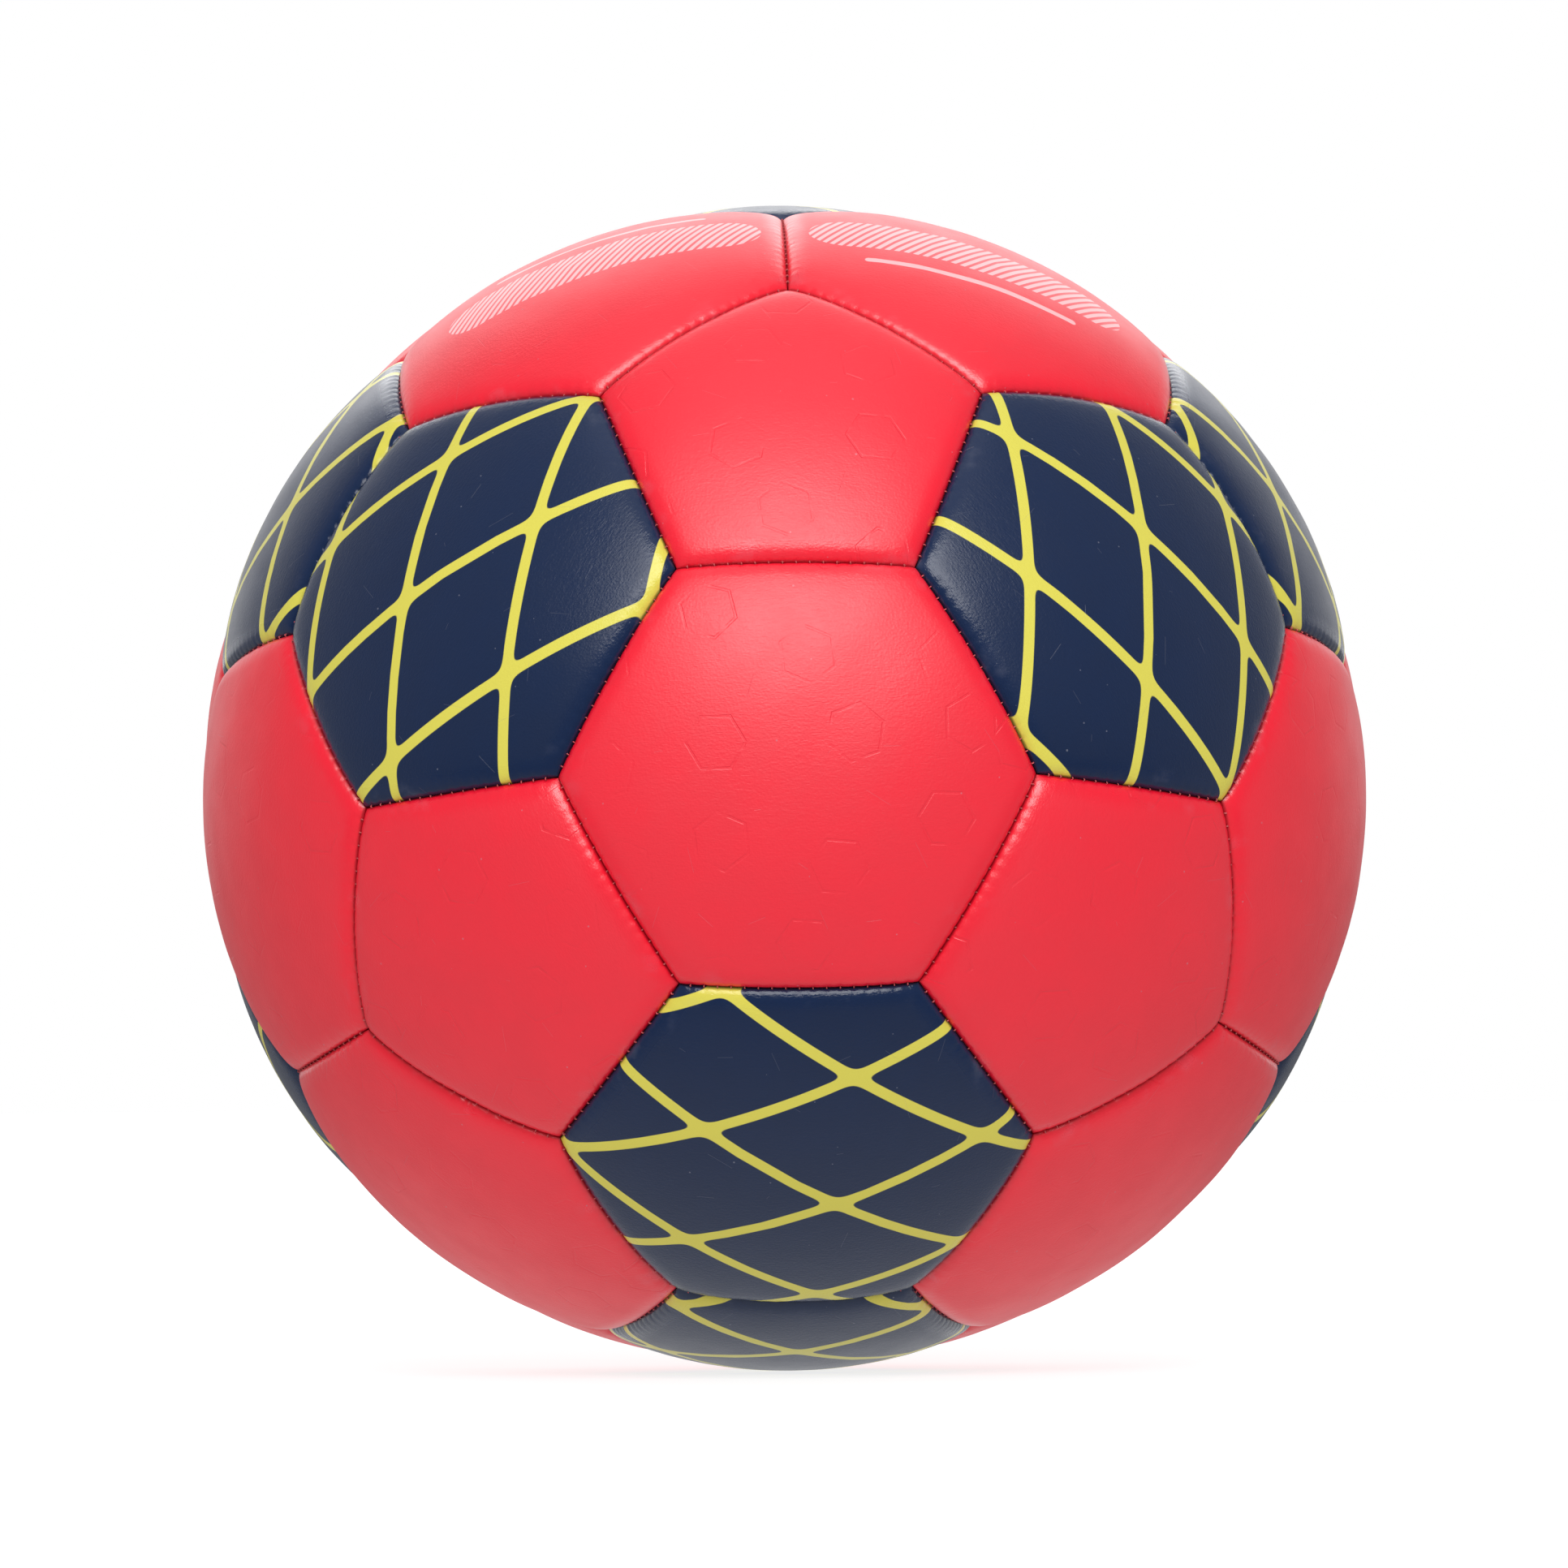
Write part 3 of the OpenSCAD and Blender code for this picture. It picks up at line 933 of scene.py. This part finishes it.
def inked(tree, distance, half_width):
    """1 on a printed line and 0 off it, with a soft edge."""
    return step_up(tree, distance, half_width - print_soft, half_width + print_soft, 1, 0)


def printed_net(tree, across, up):
    """Two sets of slanting lines, filled in a little where they cross."""
    lines = []
    for slant in net_slants:
        offset = net_crossing[1] * math.cos(slant) - net_crossing[0] * math.sin(slant)
        inputs = {"Across": across, "Up": up, "Slant": slant, "Pitch": net_pitch, "Offset": offset}
        lines.append(use_group(tree, stripe_distance, inputs)["Distance"])
    return inked(tree, calc(tree, "SMOOTH_MIN", *lines, net_fillet), net_line)


def printed_band(tree, across, up):
    """A hatched band with round ends, and a plain stripe beside it."""
    across = calc(tree, "SUBTRACT", across, band_across)
    inputs = {"Across": across, "Up": up, "Slant": hatch_slant, "Pitch": hatch_pitch, "Offset": 0.0}
    hatch = inked(tree, use_group(tree, stripe_distance, inputs)["Distance"], hatch_line)
    band = times(tree, hatch, inked(tree, capsule(tree, across, up, band_half_l), band_half_w))
    beside = calc(tree, "SUBTRACT", up, stripe_up)
    stripe = inked(tree, capsule(tree, across, beside, stripe_half_l), stripe_half_w)
    return calc(tree, "MAXIMUM", band, stripe)


def scattered(tree, flat, cell):
    """Across and up of a place from the middle of its cell, turned at random, and a random
    share of that cell."""
    cells = put(tree, "TexVoronoi", flat, None, 1 / cell, voronoi_dimensions="2D")
    feed(tree, cells.inputs["Randomness"], cell_scatter)
    first, second, _ = split(tree, cells.outputs["Color"])
    local = put(tree, "VectorMath", flat, cells.outputs["Position"], operation="SUBTRACT").outputs[0]
    turn = times(tree, first, 2 * math.pi)
    turned = put(tree, "VectorRotate", local, None, None, turn, rotation_type="Z_AXIS").outputs[0]
    x, y, _ = (calc(tree, "ABSOLUTE", axis) for axis in split(tree, turned))
    return x, y, second


def debossed_hexagons(tree, flat):
    """Scattered outlines of small hexagons, pressed into the skin and partly worn flat."""
    x, y, share = scattered(tree, flat, deboss_cell)
    slanted = calc(tree, "MULTIPLY_ADD", y, math.cos(math.pi / 6), times(tree, x, 0.5))
    size = calc(tree, "MAXIMUM", x, slanted)
    outline = inked(tree, calc(tree, "ABSOLUTE", calc(tree, "SUBTRACT", size, deboss_half)), deboss_line)
    left = step_up(tree, grains(tree, flat, deboss_half), *deboss_worn)
    depth = times(tree, left, step_up(tree, share, 0, 0.5, *deboss_strength))
    return times(tree, outline, depth)


def scratches(tree, flat):
    """Short straight scratches, in half of their cells."""
    x, y, share = scattered(tree, flat, scratch_cell)
    half = step_up(tree, share, 0.5, 1, 0, scratch_half_l)
    run = calc(tree, "LESS_THAN", x, half)
    return times(tree, run, step_up(tree, y, 0, scratch_half_w, 1, 0))


def cover_leather(name, ground, seam, gloss, dullness, ink=None, artwork=None):
    """Grained synthetic leather in a ground colour, with what is printed or pressed on it, painted shade in
    its seams and needle holes, and pale patches on its shoulders that are rubbed wear and painted sheen.
    """
    material, tree, shader = start_material(name, Specular_IOR_Level=gloss)
    place = place_on(tree)
    across, up, to_seam = split(tree, read_values(tree, "panel_at")["Vector"])
    flat = put(tree, "CombineXYZ", across, up).outputs[0]
    inputs = {"Place": place, "Flat": flat, "Grain": grain_size, "Speck gap": speck_gap}
    grain = use_group(tree, cover_grain, inputs)
    needle = read_values(tree, "needle")["Fac"]
    inputs = {"Place": place, "To seam": to_seam, "Needle": needle, "Reach": seam_reach}
    edge = use_group(tree, seam_edge, inputs)
    tint = step_up(tree, grain["Mottle"], *noise_middle, 0, mottle_tint)
    base = blended(tree, tint, colour(ground), colour(seam))
    relief = grain["Height"]
    if artwork:
        printed = artwork(tree, across, up)
        base = blended(tree, printed, base, colour(ink))
        relief = calc(tree, "MULTIPLY_ADD", printed, print_relief, relief)
    else:
        relief = calc(tree, "MULTIPLY_ADD", debossed_hexagons(tree, flat), -deboss_relief, relief)
    scratch = scratches(tree, flat)
    relief = calc(tree, "MULTIPLY_ADD", scratch, -scratch_relief, relief)
    # Pale specks and scratches are wear; the pale patches on the shoulders are rubbed wear and painted sheen.
    pale_specks = times(tree, grain["Specks"], speck_pale)
    pale = calc(tree, "MAXIMUM", pale_specks, times(tree, edge["Rubbed and sheen"], worn_pale_and_sheen))
    pale = calc(tree, "MAXIMUM", pale, times(tree, scratch, scratch_pale))
    base = blended(tree, pale, base, colour(scuff_and_sheen_grey))
    # Painted shade in the seam groove and at the needle holes.
    base = blended(tree, edge["Painted shade"], base, colour(seam))
    roughness = calc(tree, "MULTIPLY_ADD", grain["Mottle"], mottle_dullness, dullness)
    roughness = calc(tree, "MULTIPLY_ADD", edge["Rubbed and sheen"], -worn_shine, roughness)
    roughness = calc(tree, "MULTIPLY_ADD", edge["Shoulder"], -shoulder_shine, roughness)
    finish_surface(tree, shader, base, roughness, relief, cover_bump)
    return material


red_skin = (red, red_mottle_and_seam_shade, red_gloss, red_dullness)
navy_skin = (navy, navy_mottle_and_seam_shade, navy_gloss, navy_dullness)
red_leather = cover_leather("red_leather", *red_skin)
banded_leather = cover_leather("banded_leather", *red_skin, band_pink, printed_band)
navy_leather = cover_leather("navy_leather", *navy_skin, net_yellow, printed_net)


def cover_finish(sides, number):
    """Name and material of a panel's cover."""
    if number in navy_panels[sides]:
        return "navy_cover", navy_leather
    return "red_cover", banded_leather if sides == 6 and number in banded_panels else red_leather


for shape, sides in shapes.items():
    cover_pieces(shape, sides)

# The seams are sewn from the inside with one waxed thread of twisted polyester.
# It runs along the turned-in edges, and a short loop crosses the bottom of the
# groove at each pair of needle holes, where it shows as a small pale speck.
thread_pink = "#ee7a7c"
thread_shade = "#a8202c"
thread_half_d = 0.35
thread_stop = 1.6
thread_steps = 37
thread_sides = 8
loop_half_d = 0.1
loop_half_l = 0.17
loop_depth = 1.4
loop_drop = 0.25
loop_steps = 9
loop_sides = 6
neighbour_share = 1.05
strands = 3
strand_levels = (-1, 0.4)
strand_shade = 0.7
twist_pitch = 0.9 * mm
wax_patch = 1.2 * mm
wax_dullness = (0.4, 0.65)
thread_bump = 0.08 * mm

waxed_thread, tree, shader = start_material("waxed_thread", Specular_IOR_Level=0.4)
along, around, _ = split(tree, read_values(tree, "thread_at")["Vector"])
turn = calc(tree, "MULTIPLY_ADD", along, 2 * math.pi / twist_pitch, around)
strand = calc(tree, "SINE", times(tree, turn, strands / 2))
wax = grains(tree, place_on(tree), wax_patch, detail=3)
# The thread is darker where its strands dip, which is painted shade between them.
shade = step_up(tree, strand, *strand_levels, strand_shade, 0)
thread_base = blended(tree, shade, colour(thread_pink), colour(thread_shade))
dullness = step_up(tree, wax, *noise_middle, *wax_dullness)
finish_surface(tree, shader, thread_base, dullness, strand, thread_bump)


def tube(centres, sideways, upwards, radius, sides):
    """Points and faces of a closed tube round centres, and each point's place on the thread."""
    turns = 2 * np.pi * np.arange(sides) / sides
    around = np.cos(turns)[:, None, None] * sideways + np.sin(turns)[:, None, None] * upwards
    points = (centres + radius * around).transpose(1, 0, 2).reshape(-1, 3)
    points = np.concatenate([centres[:1], points, centres[-1:]])
    run = np.concatenate([[0], np.cumsum(np.linalg.norm(np.diff(centres, axis=0), axis=1))])
    along = np.concatenate([[0], np.repeat(run, sides), run[-1:]])
    at = np.column_stack([along * mm, np.concatenate([[0], np.tile(turns, len(centres)), [0]]), 0 * along])
    pairs = loft_faces([1] + [sides] * len(centres) + [1])
    return points, [face for pair in pairs for face in pair], at


def seam_thread(middle, tangent):
    """The run of thread in one seam and its loops, as tubes."""
    half = half_seam - thread_stop / thread_r
    across = np.cross(middle, tangent)
    angles = np.linspace(-half, half, thread_steps)[:, None]
    outward = np.cos(angles) * middle + np.sin(angles) * tangent
    beside = np.broadcast_to(-across, outward.shape)
    tubes = [tube(thread_r * outward, beside, outward, thread_half_d, thread_sides)]
    steps = np.linspace(-1, 1, loop_steps)[:, None]
    for stitch in range(-stitches_each_way, stitches_each_way + 1):
        angle = stitch * stitch_pitch / ball_r
        outward = math.cos(angle) * middle + math.sin(angle) * tangent
        beside = math.cos(angle) * tangent - math.sin(angle) * middle
        depth = seam_dip + loop_depth + loop_drop * steps ** 2
        centres = outward * (ball_r - depth) + across * loop_half_l * steps
        slope = np.arctan2(-2 * loop_drop * steps, loop_half_l)
        upwards = outward * np.cos(slope) - across * np.sin(slope)
        tubes.append(tube(centres, np.broadcast_to(beside, centres.shape), upwards, loop_half_d, loop_sides))
    return tubes


def shared_seams(sides, others):
    """Pairs of panels of two shapes that share a seam, each as its axis and its lean to it."""
    lean, far_lean = side_angle(sides), side_angle(others)
    least = math.cos(neighbour_share * (lean + far_lean))
    pairs = []
    for a, (_, _, axis) in enumerate(placements[sides]):
        for b, (_, _, other) in enumerate(placements[others]):
            if axis @ other > least and (sides != others or a < b):
                pairs.append(((axis, lean), (other, far_lean)))
    return pairs


def stitching(name, pairs, node):
    """One mesh of the thread in the seams between pairs of panels."""
    points, faces, places = [], [], []
    start = 0
    for (axis, lean), (other, far_lean) in pairs:
        middle = (axis * math.sin(far_lean) + other * math.sin(lean)) / math.sin(lean + far_lean)
        tangent = unit(np.cross(axis, other))
        for tube_points, tube_faces, at in seam_thread(middle, tangent):
            points.append(tube_points)
            places.append(at)
            faces += [tuple(start + corner for corner in face) for face in tube_faces]
            start += len(tube_points)
    piece = new_piece(name, np.concatenate(points), faces, waxed_thread, node)
    keep_values(piece, "thread_at", np.concatenate(places))


for shape, sides in shapes.items():
    stitching(f"stitching_{shape}s", shared_seams(sides, shapes["hexagon"]), f"{shape}_seam_threads")

# The studio is a floor of grey paper in a white room. The floor glows, which is
# painted light: seen straight on it is white, but dimmer near the ball as painted
# shade round it; for other rays its glow is painted bounce light on the ball from
# below; in reflections only its glow shows, brighter near the ball. Soft boxes hang
# above the camera, over the ball and behind it. Reflections show floor and room
# dimmer towards the camera's side.
white = "#ffffff"
black = "#000000"
floor_grey = "#8c8c8c"
floor_half = 6
floor_patch = 0.4
floor_tint = 0.05
floor_seen = (0.8, 1.0)
floor_seen_reach = (0.15, 0.6)
floor_bounce_glow = 0.48
floor_mirrored = (1.05, 0.3)
floor_mirrored_reach = (0.03, 0.2)
floor_front = (-0.25, -0.05)
room_light = 0.46
room_mirrored = (0.08, 0.28, 1.0)
room_reaches = ((-0.8, 0.4), (0.55, 0.93))
soft_boxes = {
    "key_box": ((0, -1.48, 1.09), (1.35, 0.95), 24),
    "top_box": ((0, -0.3, 1.9), (1.6, 1.6), 3.5),
    "back_box": ((0, 1.5, 1.1), (1.6, 1.2), 9),
}
camera_distance = 1.8386
camera_from = (-0.02479, -0.99947, -0.02102)
camera_aim = (0, 0, 0.00047)
camera_roll = math.radians(-0.449)
camera_lens = 262.57
camera_sensor = 36
camera_reach = (0.1, 30)


def ray_kinds(tree):
    """Whether a ray comes from the camera, from a reflection or from elsewhere, as 0 or 1."""
    path = put(tree, "LightPath").outputs
    seen = calc(tree, "MAXIMUM", path["Is Camera Ray"], path["Is Transmission Ray"])
    mirrored = path["Is Glossy Ray"]
    unseen = calc(tree, "SUBTRACT", 1, calc(tree, "MAXIMUM", seen, mirrored))
    return seen, mirrored, unseen


floor_mesh = bpy.data.meshes.new("floor")
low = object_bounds()[0][2]
corners = [(x * floor_half, y * floor_half, low) for x, y in ((-1, -1), (1, -1), (1, 1), (-1, 1))]
floor_mesh.from_pydata(corners, [], [(0, 1, 2, 3)])
floor = add_object("floor", floor_mesh)
floor_paper, tree, shader = start_material("floor_paper", Roughness=0.8, Specular_IOR_Level=0.1)
floor_place = place_on(tree)
floor_grain = grains(tree, floor_place, floor_patch, detail=3)
tint = step_up(tree, floor_grain, *noise_middle, 0, floor_tint)
paper = blended(tree, tint, colour(floor_grey), colour(white))
seen, mirrored, unseen = ray_kinds(tree)
# In reflections the paper is black, so that only its painted glow shows.
feed(tree, shader.inputs["Base Color"], blended(tree, mirrored, paper, colour(black)))
reach = put(tree, "VectorMath", floor_place, operation="LENGTH").outputs["Value"]
depth = split(tree, floor_place)["Y"]
# Seen straight on, the floor glows dimmer near the ball: painted shade round it.
seen_glow = times(tree, seen, step_up(tree, reach, *floor_seen_reach, *floor_seen))
mirrored = times(tree, mirrored, step_up(tree, depth, *floor_front))
# Painted reflection: the floor's glow in reflections is brighter near the ball and dimmer towards the front.
mirrored_light = step_up(tree, reach, *floor_mirrored_reach, *floor_mirrored)
mirrored_glow = times(tree, mirrored, mirrored_light)
# For other rays the floor's even glow is painted bounce light on the ball from below.
strength = calc(tree, "MULTIPLY_ADD", unseen, floor_bounce_glow, calc(tree, "ADD", seen_glow, mirrored_glow))
glow = put(tree, "Emission", None, strength)
lit = put(tree, "AddShader", shader.outputs[0], glow.outputs[0])
feed(tree, tree.nodes["Material Output"].inputs["Surface"], lit.outputs[0])
floor_mesh.materials.append(floor_paper)

for name, (place, size, power) in soft_boxes.items():
    lamp = bpy.data.lights.new(name, "AREA")
    lamp.shape = "RECTANGLE"
    lamp.size, lamp.size_y = size
    lamp.energy = power
    box = add_object(name, lamp)
    box.location = place
    box.rotation_euler = (-Vector(place)).to_track_quat("-Z", "Y").to_euler()

world = bpy.data.worlds.new("studio")
world.use_nodes = True
bpy.context.scene.world = world
tree = world.node_tree
seen, mirrored, unseen = ray_kinds(tree)
behind = split(tree, put(tree, "TexCoord").outputs["Generated"])["Y"]
side = step_up(tree, behind, *room_reaches[0], *room_mirrored[:2])
far = step_up(tree, behind, *room_reaches[1], side, room_mirrored[2])
seen_light = calc(tree, "ADD", seen, times(tree, mirrored, far))
strength = calc(tree, "MULTIPLY_ADD", unseen, room_light, seen_light)
feed_named(tree, tree.nodes["Background"], {"Color": colour(white), "Strength": strength})

lens = bpy.data.cameras.new("camera")
lens.lens = camera_lens
lens.sensor_width = camera_sensor
lens.clip_start, lens.clip_end = camera_reach
camera = add_object("camera", lens)
camera.location = Vector(camera_from).normalized() * camera_distance
ahead = Vector(camera_aim) - camera.location
camera.rotation_euler = (ahead.to_track_quat("-Z", "Y") @ Quaternion((0, 0, 1), camera_roll)).to_euler()
bpy.context.scene.camera = camera
bpy.context.scene.view_settings.view_transform = "Standard"
